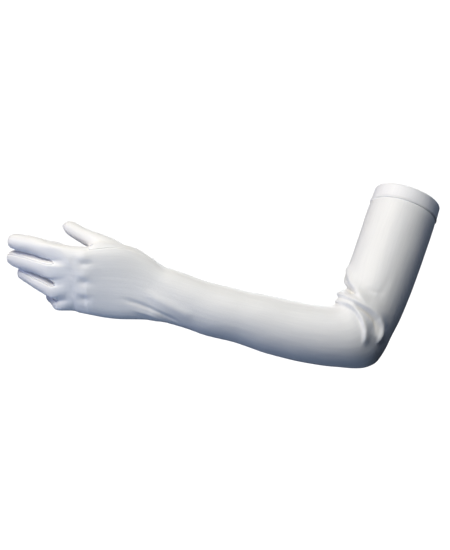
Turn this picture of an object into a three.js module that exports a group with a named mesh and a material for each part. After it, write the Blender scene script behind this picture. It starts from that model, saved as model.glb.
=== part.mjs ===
import * as THREE from "three";

// A long dress glove in white stretch satin, in the form it has on a left hand and a bent arm.
// Millimetres, +Z up. The origin is the middle of the arm opening, +X runs from the fingertips
// towards the elbow, and -Y is the side with the back of the hand.

// Cloth and seams
const CLOTH_THICKNESS = 1.0;
const HEM_THICKNESS = 2.0;
const HEM_STANDS_PROUD = 0.4;
const SEAM_GAP = 0.4;
const SHARPEST_SEAM = 0.25;
const NARROWEST_FOLD = 5.5;
const DEPTH_COUNTS = 0.15;

// Columns of the sleeve, counted from the thumb side over the back of the hand
const SLEEVE_COLUMNS = 36;
const FINGER_COLUMNS = 12;
const FINGER_NAMES = ["index", "middle", "ring", "little"];

// Rows of a table, keyed by the names of its columns.
const table = (columns, rows) => {
  const names = columns.split(" ");
  return rows.map((row) => Object.fromEntries(row.map((value, i) => [names[i], value])));
};

// Sleeve sections from the arm opening to the knuckles. x, y, z: middle of the section.
// tilt: angle of its width from upright. lean: how far its depth is turned along the arm.
// roll: turn about the arm. wide, deep: half sizes. square: 2 is an ellipse, more is boxier.
// steps: rings up to the next section.
const SLEEVE = table("x y z tilt lean roll wide deep square steps", [
  [0, 0, 0, -70, 18, 0, 37.2, 37.4, 2, 1],
  [-6, -7.3, -15.8, -70, 18.6, 0, 37.9, 37.8, 2, 1],
  [-11.4, -13.9, -30, -70, 20, 0, 38, 37.8, 2, 1],
  [-19.6, -23.9, -51.4, -70, 22, 0, 37.8, 37.4, 2, 2],
  [-29.5, -36, -77.5, -69, 23.5, 0, 37.5, 36.8, 2, 2],
  [-38, -46, -98, -62, 22, 0, 37.2, 36, 2, 2],
  [-44.5, -53, -113.5, -54, 18, 0, 37, 35.2, 2, 3],
  [-50.5, -59, -125.5, -45, 14, 0, 37.6, 34.5, 2, 3],
  [-56, -64, -137, -36.6, 10, 0, 39.1, 34, 2, 3],
  [-62.5, -67, -146.5, -29.4, 6, 0, 39.7, 33.5, 2, 2],
  [-71, -69, -151, -20.4, 3, 0, 37.2, 33, 2, 2],
  [-85, -70, -151, -9.1, 1, 0, 34.2, 32.4, 2, 2],
  [-101.5, -70, -149.5, 3, 0, 0, 32.8, 31.8, 2, 2],
  [-123, -70, -146, 11, 0, 0, 32.1, 30.6, 2, 1],
  [-139.2, -70, -142.5, 13, 0, 0, 31.5, 29.6, 2, 1],
  [-155.3, -70, -138.5, 14, 0, 0, 31.1, 28.6, 2, 1],
  [-171.4, -70, -133.8, 14, 0, 0, 29.9, 27.4, 2, 1],
  [-187.7, -70, -129.6, 14, 0, 0, 28.8, 26.2, 2, 1],
  [-204, -70, -125.6, 14, 0, 0, 28.7, 25, 2, 1],
  [-220.3, -70, -121.8, 14, 0, 0, 28.6, 23.6, 2, 1],
  [-236.4, -70, -116.4, 14, 0, 0, 28.1, 22, 2.05, 1],
  [-252.5, -70, -111, 13, 0, 0, 28.5, 20.4, 2.1, 1],
  [-263.5, -70, -107.5, 12, 0, 0, 28.9, 19.2, 2.2, 1],
  [-274.3, -70, -105, 10, 0, 0, 30, 18, 2.3, 1],
  [-286, -70, -100.2, 8, 0, 2, 33.3, 16.8, 2.4, 1],
  [-302.3, -71, -95.5, 6, 0, 5, 37.6, 15.6, 2.5, 1],
  [-324.5, -72, -92, 3, 0, 9.5, 40.4, 14.6, 2.6, 1],
  [-348.5, -72.5, -91.2, -1, 0, 13, 37.8, 13.8, 2.7, 1],
  [-361, -71, -90.2, -4, 0, 15.5, 37.1, 13.2, 2.7, 1],
  [-373.5, -68.6, -87.8, -6, 0, 17, 37.1, 12.7, 2.6, 1],
]);

// Sections that bound the thumb opening, counted back from the last one
const THUMB_OPENING = { near: 5, far: 2 };
const HEM_SECTIONS = 1;

const PALM_DIRECTION = new THREE.Vector3(-1, 0, 0.1);

// Finger sections from the web to the tip. x, y, z: middle of the section. roll: turn about the
// finger. wide, deep, square: as in the sleeve; the last row is the tip itself.
const FINGER_FIELDS = "x y z roll wide deep square";
const FINGERS = {
  index: table(FINGER_FIELDS, [
    [-387.5, -71.5, -58.9, 15, 9.3, 10.8, 3.6],
    [-396.5, -69, -57.1, 15, 9.7, 9.9, 2.6],
    [-406, -65.5, -54.4, 15, 9.8, 9.4, 2.2],
    [-415.5, -61, -51.9, 15, 9.7, 8.9, 2],
    [-425, -56, -50.2, 15, 9.3, 8.5, 2],
    [-432, -51.5, -48.6, 15, 8.6, 8, 2],
    [-436.8, -48.3, -47.8, 15, 6.8, 6.5, 2],
    [-439.6, -46.4, -47.3, 15, 0, 0, 2],
  ]),
  middle: table(FINGER_FIELDS, [
    [-388.5, -69.5, -79, 18, 9.8, 10.8, 3.6],
    [-396.5, -66.3, -77.2, 20, 9.6, 9.6, 2.6],
    [-405.5, -61, -74.4, 23, 9.6, 9.1, 2.2],
    [-415, -54.8, -71.7, 25, 10.2, 8.7, 2],
    [-424.5, -47.8, -69.3, 25, 10, 8.4, 2],
    [-433, -41.7, -66.8, 24, 9.1, 7.8, 2],
    [-439, -38, -65.6, 22, 6.8, 6.1, 2],
    [-442.2, -35.9, -65.2, 22, 0, 0, 2],
  ]),
  ring: table(FINGER_FIELDS, [
    [-385.8, -64, -100.8, 20, 8.4, 10, 3.4],
    [-393, -60, -99, 22, 8.5, 9, 2.4],
    [-400.5, -55.5, -95.4, 25, 8.3, 8.6, 2.2],
    [-408.5, -49.5, -91.6, 26, 8, 8.2, 2],
    [-416, -43, -87.4, 26, 7.8, 7.8, 2],
    [-423, -37, -84.1, 26, 7.3, 7.2, 2],
    [-427.6, -32.6, -82.2, 24, 6, 5.9, 2],
    [-430.2, -30.4, -81.4, 24, 0, 0, 2],
  ]),
  little: table(FINGER_FIELDS, [
    [-381.2, -57.5, -115.9, 22, 6.8, 9, 3],
    [-385.2, -50, -114.4, 24, 7, 8.2, 2.4],
    [-387.8, -42, -112.8, 26, 7.2, 7.7, 2.2],
    [-390.6, -33.5, -111.2, 26, 7.1, 7.3, 2],
    [-393.4, -25.5, -109.8, 26, 6.9, 7.1, 2],
    [-395.8, -18.5, -108.6, 26, 6.5, 6.6, 2],
    [-397.5, -14, -108, 26, 5, 5.1, 2],
    [-398.4, -11.7, -107.7, 26, 0, 0, 2],
  ]),
};

// Thumb sections from the opening to the tip. tilt: angle of the section's width above level.
// swing: its turn towards the palm. upright: 1 keeps the section level, 0 sets it square to the
// thumb. arch: rise of its middle over its ends; the rest as above.
const THUMB = table("x y z tilt swing upright arch wide deep square", [
  [-319.6, -75, -57.2, -9.5, 9.5, 1, 4.8, 28.6, 6.2, 4],
  [-328.6, -73.4, -54.2, -1, 8, 0.9, 3, 21.4, 8.4, 2.8],
  [-337, -70, -50.4, 13, 5, 0.6, 1.2, 15.2, 9.8, 2.3],
  [-344.8, -66, -47.3, 27, 0, 0.3, 0, 11.8, 10.4, 2],
  [-352.4, -62, -44.3, 39, 0, 0, 0, 9.7, 9.8, 2],
  [-360.8, -58.8, -40.2, 47, 0, 0, 0, 8.5, 9.1, 2],
  [-368.6, -56, -35.6, 57, 0, 0, 0, 8, 8.5, 2],
  [-374.9, -53.9, -32.3, 67, 0, 0, 0, 6.5, 6.8, 2],
  [-379.3, -52.5, -31, 70, 0, 0, 0, 0, 0, 2],
]);

// Folds pulled up by the bent elbow and the turned wrist, and the knuckles under the cloth.
// height: stands out from the cloth, less than 0 sinks in. width: half way down its slope.
// path: x, y, z of points near the cloth that the fold runs along.
const FOLDS = table("height width path", [
  [3, 3, [
    [-86, -46, -117], [-79.4, -80, -114.8], [-70.8, -95, -116.9], [-64.4, -98, -121.7],
    [-60.2, -99, -127.6], [-57, -99, -135], [-55.4, -97, -144.6], [-55.9, -92, -156.3],
  ]],
  [3.4, 3.4, [
    [-84, -46, -107.6], [-78.3, -74, -107.3], [-70.8, -92, -110.5], [-57, -98, -118],
    [-43.1, -97, -127.6], [-38.9, -94, -135], [-37.3, -89, -143.5], [-39.9, -84, -155.3],
  ]],
  [2.4, 3.4, [
    [-70.5, -44, -75], [-72.5, -74, -81.8], [-70.8, -86, -87.1], [-63.4, -96, -102],
    [-58, -98, -109.5], [-50.6, -98, -116.9],
  ]],
  [-6, 3.2, [[-79, -42, -98.5], [-77.4, -70, -98], [-72, -88, -101.6], [-63.4, -96, -107.5]]],
  [-2.2, 2.6, [
    [-66.6, -97, -116.4], [-60.2, -98, -120.6], [-53.8, -98, -126], [-47.4, -97, -131.3],
    [-43.1, -94, -137.2],
  ]],
  [-0.7, 3, [[-53.2, -97, -135], [-52.2, -94, -145.7], [-52.7, -88, -159.5]]],
  [-1.3, 2.4, [
    [-314.2, -90, -109.6], [-289.6, -91, -118.1], [-268.2, -90, -129.4], [-256.4, -88, -135.3],
  ]],
  [0.8, 2.4, [[-305.7, -88, -120.6], [-284.3, -86, -127.4], [-270, -84, -132]]],
  [1.2, 5, [[-294.4, -92, -100.9], [-267.8, -93, -115.8], [-246.6, -93, -126.4], [-234.9, -93, -131.8]]],
  [0.6, 8, [[-354, -86, -66.5], [-350, -87, -67]]],
  [-0.5, 4.6, [[-357, -86, -73.6], [-340, -87, -75]]],
  [0.6, 8, [[-358, -86, -85.5], [-354, -87, -86]]],
  [-0.5, 4.6, [[-361, -86, -93.4], [-343, -87, -95]]],
  [0.6, 8, [[-358, -86, -104.5], [-354, -87, -105]]],
  [-0.5, 4.6, [[-360, -86, -112.4], [-341, -87, -114]]],
]);

const rad = THREE.MathUtils.degToRad;

// Sine or cosine of a turn, pushed out towards the corners of a boxier section.
const rounded = (value, square) => Math.sign(value) * Math.abs(value) ** (2 / square);

// Cubic through the table rows, with slopes taken over the neighbouring rows.
function between(rows, index, t) {
  const before = rows[Math.max(index - 1, 0)];
  const start = rows[index];
  const end = rows[Math.min(index + 1, rows.length - 1)];
  const after = rows[Math.min(index + 2, rows.length - 1)];
  const gap = (p, q) => Math.max(Math.hypot(p.x - q.x, p.y - q.y, p.z - q.z), 1e-6);
  const span = gap(start, end);
  const row = {};
  for (const key of Object.keys(start)) {
    const slopeIn = (end[key] - before[key]) / (before === start ? span : span + gap(before, start));
    const slopeOut = (after[key] - start[key]) / (after === end ? span : span + gap(end, after));
    const low = start[key];
    const high = end[key];
    row[key] =
      low * (2 * t ** 3 - 3 * t ** 2 + 1) +
      high * (3 * t ** 2 - 2 * t ** 3) +
      slopeIn * span * (t ** 3 - 2 * t ** 2 + t) +
      slopeOut * span * (t ** 3 - t ** 2);
  }
  return row;
}

// All rings of the sleeve, with the section each one starts from.
function sleeveRings() {
  const rings = [];
  SLEEVE.forEach((row, index) => {
    const steps = index < SLEEVE.length - 1 ? row.steps : 1;
    for (let step = 0; step < steps; step += 1) {
      const ring = step === 0 ? { ...row } : between(SLEEVE, index, step / steps);
      ring.section = index;
      rings.push(ring);
    }
  });
  return rings;
}

// Across, along and through directions of a sleeve section.
function sleeveFrame(row) {
  const tilt = rad(row.tilt);
  const roll = rad(row.roll);
  const lean = rad(row.lean);
  const across = new THREE.Vector3(
    Math.sin(tilt) * Math.cos(roll), -Math.sin(roll), Math.cos(tilt) * Math.cos(roll));
  const along = new THREE.Vector3(-Math.cos(tilt), 0, Math.sin(tilt));
  const through = new THREE.Vector3().crossVectors(along, across);
  through.multiplyScalar(Math.cos(lean)).addScaledVector(along, Math.sin(lean));
  return { across, through };
}

// Points evenly spaced along a rounded section, starting half a step past the thumb side.
function sleevePoints(row) {
  const samples = 720;
  const shape = (turn) => {
    const across = row.wide * rounded(Math.cos(turn), row.square);
    return [across, row.deep * rounded(Math.sin(turn), row.square)];
  };
  const outline = [];
  const lengths = [0];
  for (let i = 0; i <= samples; i += 1) {
    outline.push(shape((i / samples) * 2 * Math.PI));
    if (i > 0) {
      const [w, d] = outline[i];
      const [wBefore, dBefore] = outline[i - 1];
      lengths.push(lengths[i - 1] + Math.hypot(w - wBefore, d - dBefore));
    }
  }
  const { across, through } = sleeveFrame(row);
  const points = [];
  let at = 0;
  for (let column = 0; column < SLEEVE_COLUMNS; column += 1) {
    const wanted = ((column + 0.5) / SLEEVE_COLUMNS) * lengths[samples];
    while (lengths[at + 1] < wanted) at += 1;
    const share = (wanted - lengths[at]) / (lengths[at + 1] - lengths[at]);
    const w = outline[at][0] + share * (outline[at + 1][0] - outline[at][0]);
    const d = outline[at][1] + share * (outline[at + 1][1] - outline[at][1]);
    const point = new THREE.Vector3(row.x, row.y, row.z);
    points.push(point.addScaledVector(across, w).addScaledVector(through, -d));
  }
  return points;
}

const middleOf = (row) => new THREE.Vector3(row.x, row.y, row.z);

// Direction a digit runs in at one of its sections.
function digitDirection(rows, index) {
  const from = middleOf(rows[Math.max(index - 1, 0)]);
  const to = middleOf(rows[Math.min(index + 1, rows.length - 1)]);
  return to.sub(from).normalize();
}

// Ring of a digit: starts at its thumb-side back corner and goes over the back.
function digitRing(row, { side, back }) {
  const points = [];
  for (let i = 0; i < FINGER_COLUMNS; i += 1) {
    const turn = rad(-45 + (360 / FINGER_COLUMNS) * i);
    const point = middleOf(row);
    point.addScaledVector(back, row.deep * rounded(Math.cos(turn), row.square));
    point.addScaledVector(side, -row.wide * rounded(Math.sin(turn), row.square));
    point.z += (row.arch ?? 0) * Math.cos(turn) ** 2;
    points.push(point);
  }
  return points;
}

// A finger leaves the palm halfway between the palm's direction and its own.
function fingerFrame(rows, index) {
  const along = digitDirection(rows, index);
  if (index === 0) along.add(PALM_DIRECTION).normalize();
  const roll = rad(rows[index].roll);
  const side = new THREE.Vector3(0, -Math.sin(roll), Math.cos(roll));
  side.addScaledVector(along, -side.dot(along)).normalize();
  const back = new THREE.Vector3().crossVectors(side, along);
  return { side, back };
}

// The thumb's opening faces up, and its first sections turn from there to its own direction.
function thumbFrame(rows, index) {
  const tilt = rad(rows[index].tilt);
  const swing = rad(rows[index].swing);
  const side = new THREE.Vector3(Math.cos(tilt) * Math.cos(swing), Math.sin(swing), Math.sin(tilt));
  const along = digitDirection(rows, index).lerp(new THREE.Vector3(0, 0, 1), rows[index].upright);
  const back = new THREE.Vector3().crossVectors(side, along).normalize();
  return { side, back };
}

// The cloth as one sheet of four-cornered faces, each marked with the piece it is cut from.
class Cloth {
  constructor() {
    this.points = [];
    this.faces = [];
  }

  addPoints(points) {
    const first = this.points.length;
    this.points.push(...points);
    return points.map((_, i) => first + i);
  }

  addFace(corners, piece) {
    this.faces.push({ corners, piece });
  }

  // Band of faces between two closed rings; pieceAt names the piece of each column.
  addBand(from, to, pieceAt) {
    for (let i = 0; i < from.length; i += 1) {
      const next = (i + 1) % from.length;
      const piece = pieceAt(i);
      if (piece) this.addFace([from[i], to[i], to[next], from[next]], piece);
    }
  }

  // Closed end of a digit: three by three faces inside the last ring.
  addTip(ring, rows, frame, piece) {
    const last = rows[rows.length - 2];
    const inset = 0.42 * Math.SQRT1_2;
    const inner = [];
    for (const [back, side] of [[1, 1], [1, -1], [-1, 1], [-1, -1]]) {
      const point = middleOf(rows[rows.length - 1]);
      point.addScaledVector(frame.back, back * inset * last.deep);
      inner.push(point.addScaledVector(frame.side, side * inset * last.wide));
    }
    const [backThumb, backOuter, palmThumb, palmOuter] = this.addPoints(inner);
    const grid = [
      [ring[0], ring[1], ring[2], ring[3]],
      [ring[11], backThumb, backOuter, ring[4]],
      [ring[10], palmThumb, palmOuter, ring[5]],
      [ring[9], ring[8], ring[7], ring[6]],
    ];
    for (let i = 0; i < 3; i += 1) {
      for (let j = 0; j < 3; j += 1) {
        this.addFace([grid[i][j], grid[i + 1][j], grid[i + 1][j + 1], grid[i][j + 1]], piece);
      }
    }
  }
}

function addSleeve(cloth) {
  const rings = sleeveRings();
  const last = SLEEVE.length - 1;
  const openingNear = last - THUMB_OPENING.near;
  const openingFar = last - THUMB_OPENING.far;
  const columns = rings.map((row) => {
    const points = sleevePoints(row);
    const inOpening = row.section > openingNear && row.section < openingFar;
    if (!inOpening) return cloth.addPoints(points);
    const kept = cloth.addPoints(points.slice(1, SLEEVE_COLUMNS - 1));
    return [null, ...kept, null];
  });
  const isOpening = (section, column) =>
    section >= openingNear && section < openingFar && (column === 0 || column >= SLEEVE_COLUMNS - 2);
  for (let i = 0; i < rings.length - 1; i += 1) {
    const section = rings[i].section;
    const piece = section < HEM_SECTIONS ? "hem_band" : "hand_and_sleeve";
    cloth.addBand(columns[i], columns[i + 1], (column) => (isOpening(section, column) ? null : piece));
  }
  const rowsOfOpening = columns.filter(
    (_, i) => rings[i].section >= openingNear && rings[i].section <= openingFar);
  return { knuckles: columns[columns.length - 1], rowsOfOpening };
}

// The thumb is a tube set into the opening beside the palm.
function addThumb(cloth, rowsOfOpening) {
  const wrist = rowsOfOpening[0];
  const palm = rowsOfOpening[rowsOfOpening.length - 1];
  const lastColumn = SLEEVE_COLUMNS - 1;
  const backEdge = rowsOfOpening.map((row) => row[1]);
  const palmEdge = rowsOfOpening.map((row) => row[lastColumn - 1]).reverse();
  let ring = [...backEdge, palm[0], palm[lastColumn], ...palmEdge, wrist[lastColumn], wrist[0]];
  for (let i = 0; i < THUMB.length - 1; i += 1) {
    const next = cloth.addPoints(digitRing(THUMB[i], thumbFrame(THUMB, i)));
    cloth.addBand(ring, next, () => "thumb");
    ring = next;
  }
  cloth.addTip(ring, THUMB, thumbFrame(THUMB, THUMB.length - 2), "thumb");
}

// Fingers, with a fourchette between each two: their facing sides and the web that joins them.
function addFingers(cloth, knuckles) {
  const fourchette = (finger) => `fourchette_${FINGER_NAMES[finger]}_${FINGER_NAMES[finger + 1]}`;
  const firstRings = FINGER_NAMES.map((name, finger) => {
    const rows = FINGERS[name];
    const pieceAt = (column) => {
      if (column >= 3 && column <= 5 && finger < 3) return fourchette(finger);
      if (column >= 9 && finger > 0) return fourchette(finger - 1);
      return "hand_and_sleeve";
    };
    const rings = rows.slice(0, -1).map((row, i) => cloth.addPoints(digitRing(row, fingerFrame(rows, i))));
    for (let i = 0; i < rings.length - 1; i += 1) cloth.addBand(rings[i], rings[i + 1], pieceAt);
    cloth.addTip(rings[rings.length - 1], rows, fingerFrame(rows, rows.length - 2), "hand_and_sleeve");
    return rings[0];
  });
  const backs = firstRings.flatMap((ring) => ring.slice(0, 4));
  const palms = firstRings.map((ring) => ring.slice(6, 10)).reverse().flat();
  const [index, , , little] = firstRings;
  const web = [index[11], ...backs, little[4], little[5], ...palms, index[10]];
  cloth.addBand(knuckles, web, () => "hand_and_sleeve");
  for (let finger = 0; finger < 3; finger += 1) {
    const upper = firstRings[finger].slice(3, 7);
    const lower = [0, 11, 10, 9].map((column) => firstRings[finger + 1][column]);
    for (let i = 0; i < 3; i += 1) {
      cloth.addFace([upper[i], upper[i + 1], lower[i + 1], lower[i]], fourchette(finger));
    }
  }
}

function outwardNormals(cloth) {
  const normals = cloth.points.map(() => new THREE.Vector3());
  for (const { corners } of cloth.faces) {
    const [a, b, c, d] = corners.map((i) => cloth.points[i]);
    const normal = new THREE.Vector3().crossVectors(c.clone().sub(a), d.clone().sub(b));
    for (const i of corners) normals[i].add(normal);
  }
  return normals.map((normal) => normal.normalize());
}

// A path laid on the cloth, by its place as seen from the back of the hand and roughly its depth.
function laidOn(points, path) {
  return path.map(([x, y, z]) => {
    const away = (point) => Math.hypot(point.x - x, DEPTH_COUNTS * (point.y - y), point.z - z);
    const nearest = points.reduce((best, point) => (away(point) < away(best) ? point : best));
    return new THREE.Vector3(x, nearest.y, z);
  });
}

function distanceToPath(point, path) {
  const nearest = new THREE.Vector3();
  let distance = Infinity;
  for (let i = 0; i < path.length - 1; i += 1) {
    new THREE.Line3(path[i], path[i + 1]).closestPointToPoint(point, true, nearest);
    distance = Math.min(distance, nearest.distanceTo(point));
  }
  return distance;
}

// A fold narrower than the faces can show is widened, and lowered to hold as much cloth.
function pressFolds(cloth) {
  const normals = outwardNormals(cloth);
  const paths = FOLDS.map(({ path }) => laidOn(cloth.points, path));
  const rises = cloth.points.map((point) => {
    let rise = 0;
    FOLDS.forEach(({ height, width }, i) => {
      const shown = Math.max(width, NARROWEST_FOLD);
      rise += (height * width / shown) * Math.exp(-((distanceToPath(point, paths[i]) / shown) ** 2));
    });
    return rise;
  });
  cloth.points.forEach((point, i) => point.addScaledVector(normals[i], rises[i]));
}

// How far each point on a seam moves into its own piece, and the piece's border edges.
// Where two pieces meet at a sharp angle they draw back further, to stay the gap apart.
function seamShifts(cloth, name) {
  const sides = new Map();
  for (const { corners, piece } of cloth.faces) {
    corners.forEach((from, i) => {
      const to = corners[(i + 1) % corners.length];
      const key = `${Math.min(from, to)} ${Math.max(from, to)}`;
      const along = cloth.points[to].clone().sub(cloth.points[from]).normalize();
      const into = new THREE.Vector3();
      for (const corner of corners) into.add(cloth.points[corner]);
      into.divideScalar(corners.length).sub(cloth.points[from]);
      into.addScaledVector(along, -into.dot(along)).normalize();
      sides.set(key, [...(sides.get(key) ?? []), { from, to, piece, into }]);
    });
  }
  const border = [];
  const ways = new Map();
  for (const pair of sides.values()) {
    const own = pair.filter((side) => side.piece === name);
    if (own.length !== 1) continue;
    border.push([own[0].from, own[0].to]);
    if (pair.length === 1) continue;
    const other = pair.find((side) => side.piece !== name);
    for (const i of [own[0].from, own[0].to]) {
      const way = ways.get(i) ?? { own: new THREE.Vector3(), other: new THREE.Vector3() };
      way.own.add(own[0].into);
      way.other.add(other.into);
      ways.set(i, way);
    }
  }
  const shifts = new Map();
  for (const [i, { own, other }] of ways) {
    const spread = Math.sin(own.angleTo(other) / 2);
    const turn = own.length() / 2;
    const reach = SEAM_GAP / 2 / Math.max(spread * turn, SHARPEST_SEAM);
    shifts.set(i, own.normalize().multiplyScalar(reach));
  }
  return { shifts, border };
}

// A closed solid of even thickness from the faces of one piece.
function pieceGeometry(cloth, name, normals) {
  const faces = cloth.faces.filter((face) => face.piece === name);
  const { shifts, border } = seamShifts(cloth, name);
  const proud = name === "hem_band" ? HEM_STANDS_PROUD : 0;
  const thickness = name === "hem_band" ? HEM_THICKNESS : CLOTH_THICKNESS;
  const used = [...new Set(faces.flatMap((face) => face.corners))];
  const place = new Map(used.map((point, i) => [point, i]));
  const layer = (offset) => used.flatMap((i) => {
    const point = cloth.points[i].clone().addScaledVector(normals[i], offset);
    if (shifts.has(i)) point.add(shifts.get(i));
    return point.toArray();
  });
  const positions = [...layer(proud), ...layer(proud - thickness)];
  const triangles = [];
  const inner = used.length;
  for (const { corners } of faces) {
    const [p, q, r, t] = corners.map((i) => cloth.points[i]);
    const turned = p.distanceTo(r) > q.distanceTo(t);
    const order = turned ? [...corners.slice(1), corners[0]] : corners;
    const [a, b, c, d] = order.map((i) => place.get(i));
    triangles.push(a, b, c, a, c, d);
    triangles.push(inner + a, inner + c, inner + b, inner + a, inner + d, inner + c);
  }
  for (const [from, to] of border) {
    const a = place.get(from);
    const b = place.get(to);
    // Both pieces on a seam split its strip the same way, so that twisted strips stay apart.
    if (from < to) triangles.push(b, a, inner + a, b, inner + a, inner + b);
    else triangles.push(b, a, inner + b, a, inner + a, inner + b);
  }
  const geometry = new THREE.BufferGeometry();
  geometry.setAttribute("position", new THREE.Float32BufferAttribute(positions, 3));
  geometry.setIndex(triangles);
  geometry.computeVertexNormals();
  return geometry;
}

const PIECES = [
  { name: "hand_and_sleeve", colour: 0xf1f1f6 },
  { name: "thumb", colour: 0xf1f1f6 },
  { name: "fourchette_index_middle", colour: 0xededf3 },
  { name: "fourchette_middle_ring", colour: 0xededf3 },
  { name: "fourchette_ring_little", colour: 0xededf3 },
  { name: "hem_band", colour: 0xf3f3f7 },
];

function buildGlove() {
  const cloth = new Cloth();
  const { knuckles, rowsOfOpening } = addSleeve(cloth);
  addThumb(cloth, rowsOfOpening);
  addFingers(cloth, knuckles);
  pressFolds(cloth);
  const normals = outwardNormals(cloth);
  const glove = new THREE.Group();
  glove.name = "long_dress_glove";
  for (const { name, colour } of PIECES) {
    const material = new THREE.MeshStandardMaterial({ color: colour, roughness: 0.45, metalness: 0 });
    const mesh = new THREE.Mesh(pieceGeometry(cloth, name, normals), material);
    mesh.name = name;
    glove.add(mesh);
  }
  return glove;
}

export default buildGlove();
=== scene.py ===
"""A long dress glove in white stretch satin, in the form it has on a left hand and a bent arm."""

import math

import bpy
import numpy as np
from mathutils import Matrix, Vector, kdtree, noise


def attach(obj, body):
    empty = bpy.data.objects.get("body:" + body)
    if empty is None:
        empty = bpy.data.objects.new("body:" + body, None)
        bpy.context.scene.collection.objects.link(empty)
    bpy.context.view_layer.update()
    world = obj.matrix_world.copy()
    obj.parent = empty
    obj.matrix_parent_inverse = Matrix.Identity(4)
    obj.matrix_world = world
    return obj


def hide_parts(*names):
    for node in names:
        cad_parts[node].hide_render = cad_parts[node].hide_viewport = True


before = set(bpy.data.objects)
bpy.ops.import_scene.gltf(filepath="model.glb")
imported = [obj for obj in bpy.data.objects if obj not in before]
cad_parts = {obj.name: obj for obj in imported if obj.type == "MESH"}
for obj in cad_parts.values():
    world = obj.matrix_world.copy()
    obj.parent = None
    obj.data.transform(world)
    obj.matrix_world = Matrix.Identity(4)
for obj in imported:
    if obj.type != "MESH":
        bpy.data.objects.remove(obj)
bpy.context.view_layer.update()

MM = 0.001
TINY = 1e-9

# Cloth and seams, in millimetres. In a sharp corner a piece is trimmed by at most
# 1 / SHARPEST_SEAM times as much as along a straight seam.
CLOTH_THICKNESS = 1.0
HEM_THICKNESS = 2.0
HEM_STANDS_PROUD = 0.4
SEAM_GAP = 0.12
SHARPEST_SEAM = 0.4
EDGE_STEPS = 4

# Columns of faces round the sleeve and round a digit. OUTLINE_SAMPLES: points that a section's
# outline is measured by. TIP_INSET: half size of a tip's middle face, as a share of the last ring.
SLEEVE_COLUMNS = 36
FINGER_COLUMNS = 12
COLUMN_WIDTH = 6.4
WEB_LENGTH = 2 * COLUMN_WIDTH
SIDE_SEAM_COLUMN = 18.5
OUTLINE_SAMPLES = 720
TIP_INSET = 0.42

FINGER_NAMES = ("index", "middle", "ring", "little")
PIECES = (
    "hand_and_sleeve",
    "thumb",
    "fourchette_index_middle",
    "fourchette_middle_ring",
    "fourchette_ring_little",
    "hem_band",
)


def table(columns, rows):
    """Rows of a table as dictionaries keyed by the column names."""
    return [dict(zip(columns.split(), row)) for row in rows]


# Sleeve sections from the arm opening to the knuckles. x, y, z: middle of the section. tilt: angle
# of its width from upright. lean: how far its depth is turned along the arm. roll: turn about the
# arm. wide, deep: half sizes. square: 2 is an ellipse, more is boxier. steps: rings to the next.
SLEEVE = table(
    "x y z tilt lean roll wide deep square steps",
    [
        (0, 0, 0, -70, 18, 0, 37.2, 37.4, 2, 2),
        (-6, -7.3, -15.8, -70, 18.6, 0, 37.9, 37.8, 2, 3),
        (-11.4, -13.9, -30, -70, 20, 0, 38, 37.8, 2, 3),
        (-19.6, -23.9, -51.4, -70, 22, 0, 37.8, 37.4, 2, 4),
        (-29.5, -36, -77.5, -69, 23.5, 0, 37.5, 36.8, 2, 4),
        (-38, -46, -98, -62, 22, 0, 37.2, 36, 2, 3),
        (-44.5, -53, -113.5, -54, 18, 0, 37, 35.2, 2, 3),
        (-50.5, -59, -125.5, -45, 14, 0, 37.6, 34.5, 2, 3),
        (-56, -64, -137, -36.6, 10, 0, 39.1, 34, 2, 3),
        (-62.5, -67, -146.5, -29.4, 6, 0, 39.7, 33.5, 2, 2),
        (-71, -69, -151, -20.4, 3, 0, 37.2, 33, 2, 2),
        (-85, -70, -151, -9.1, 1, 0, 34.2, 32.4, 2, 2),
        (-101.5, -70, -149.5, 3, 0, 0, 32.8, 31.8, 2, 3),
        (-123, -70, -146, 11, 0, 0, 32.1, 30.6, 2, 2),
        (-139.2, -70, -142.5, 13, 0, 0, 31.5, 29.6, 2, 2),
        (-155.3, -70, -138.5, 14, 0, 0, 31.1, 28.6, 2, 2),
        (-171.4, -70, -133.8, 14, 0, 0, 29.9, 27.4, 2, 2),
        (-187.7, -70, -129.6, 14, 0, 0, 28.8, 26.2, 2, 2),
        (-204, -70, -125.6, 14, 0, 0, 28.7, 25, 2, 3),
        (-220.3, -70, -121.8, 14, 0, 0, 28.6, 23.6, 2, 3),
        (-236.4, -70, -116.4, 14, 0, 0, 28.1, 22, 2.05, 3),
        (-252.5, -70, -111, 13, 0, 0, 28.5, 20.4, 2.1, 2),
        (-263.5, -70, -107.5, 12, 0, 0, 28.9, 19.2, 2.2, 2),
        (-274.3, -70, -105, 10, 0, 0, 30, 18, 2.3, 2),
        (-286, -70, -100.2, 8, 0, 2, 33.3, 16.8, 2.4, 1),
        (-302.3, -71, -95.5, 6, 0, 5, 37.6, 15.6, 2.5, 1),
        (-324.5, -72, -92, 3, 0, 9.5, 40.4, 14.6, 2.6, 1),
        (-348.5, -72.5, -91.2, -1, 0, 13, 37.8, 13.8, 2.7, 2),
        (-361, -71, -90.2, -4, 0, 15.5, 37.1, 13.2, 2.7, 2),
        (-373.5, -68.6, -87.8, -6, 0, 17, 37.1, 12.7, 2.6, 1),
    ],
)

# Sections that bound the thumb opening, counted back from the last one
THUMB_OPENING_NEAR = 5
THUMB_OPENING_FAR = 2
PALM_DIRECTION = (-1, 0, 0.1)

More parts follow.
